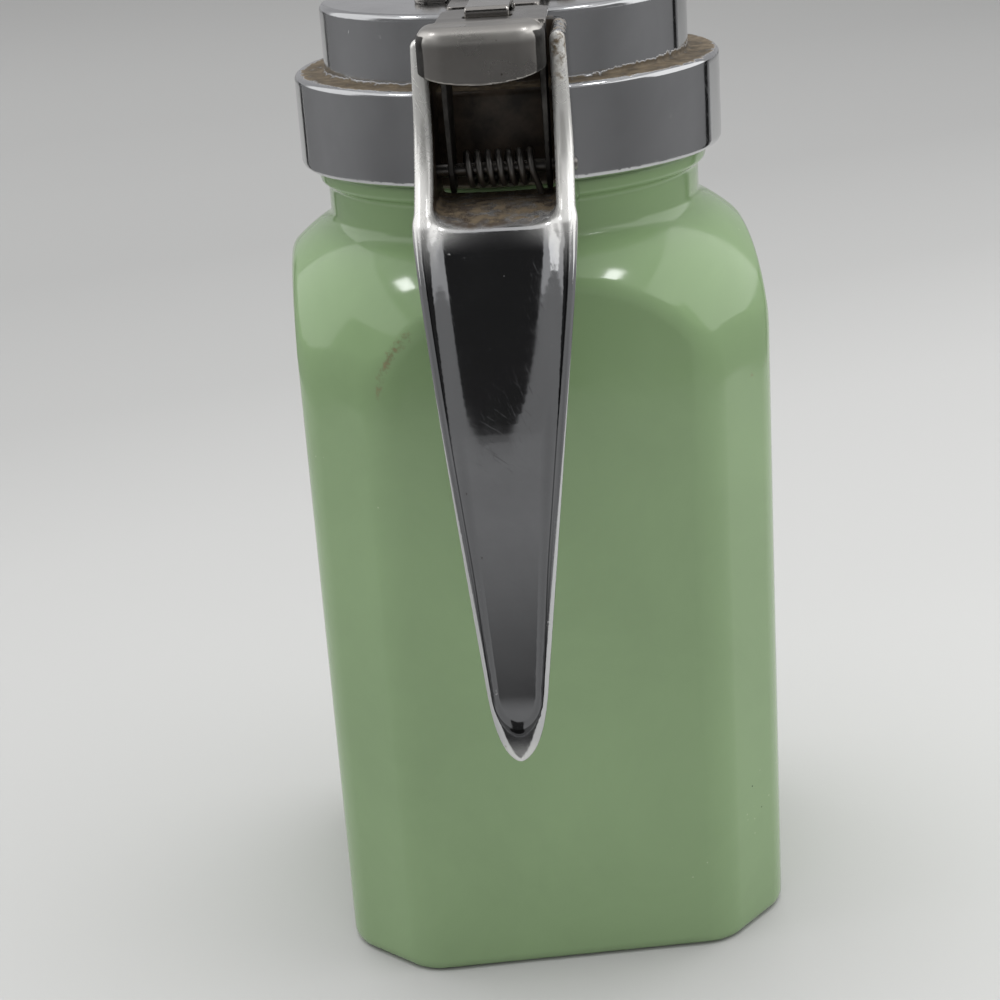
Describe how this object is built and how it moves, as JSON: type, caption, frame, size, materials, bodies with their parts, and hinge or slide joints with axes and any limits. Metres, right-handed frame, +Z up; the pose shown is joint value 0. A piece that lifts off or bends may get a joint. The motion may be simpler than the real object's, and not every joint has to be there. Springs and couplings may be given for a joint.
{
  "type": "syrup dispenser",
  "caption": "Square glass syrup jar with a screw-on metal lid, a horn-shaped handle and a sprung thumb lever that slides back a shutter over the pour hole.",
  "frame": {"origin": "centre of the jar's base, on the surface it stands on", "axes": "+Z up, handle toward -Y, spout toward +Y, +X along the lever's pin; the jar's faces are turned 7.6 degrees about +Z from the handle, as pictured"},
  "size_m": [0.0822, 0.1171, 0.1602],
  "materials": {
    "jade_glass": "opaque, glossy",
    "gasket_rubber": "matte",
    "lid_chrome": "polished, aged",
    "handle_chrome": "polished, aged",
    "rivet_steel": "satin",
    "pin_steel": "satin",
    "spring_steel": "satin, stained",
    "lever_steel": "satin, worn",
    "shutter_steel": "satin, worn",
    "keeper_steel": "satin"
  },
  "bodies": {
    "jar": {"glass_jar": "jade_glass"},
    "seal": {"lid_gasket": "gasket_rubber"},
    "lid": {"lid_casting": "lid_chrome", "handle": "handle_chrome", "handle_rivets": "rivet_steel", "pivot_pin": "pin_steel", "lever_spring": "spring_steel", "shutter_keeper": "keeper_steel", "keeper_rivets": "rivet_steel"},
    "lever": {"thumb_lever": "lever_steel"},
    "slide": {"shutter": "shutter_steel"}
  },
  "joints": [
    {"name": "lid_lift", "type": "slide", "parent": "jar", "child": "seal", "axis": [0, 0, 1], "range_m": [0, 0.0053]},
    {"name": "lid_turn", "type": "hinge", "parent": "seal", "child": "lid", "pos_m": [0, 0, 0.134], "axis": [0, 0, 1], "range_deg": [0, 450]},
    {"name": "lever_press", "type": "hinge", "parent": "lid", "child": "lever", "pos_m": [0, -0.0405, 0.13686], "axis": [1, 0, 0], "range_deg": [0, 20], "stiffness_Nm_per_rad": 0.08, "springref_deg": -20.05, "deforming": ["lever_spring"]},
    {"name": "shutter_slide", "type": "slide", "parent": "lid", "child": "slide", "axis": [0, -1, 0], "range_m": [0, 0.0076]}
  ],
  "couplings": [
    {"joint": "lid_lift", "follows": "lid_turn", "m_per_rad": 0.00066845},
    {"joint": "shutter_slide", "follows": "lever_press", "m_per_rad": 0.0215}
  ]
}
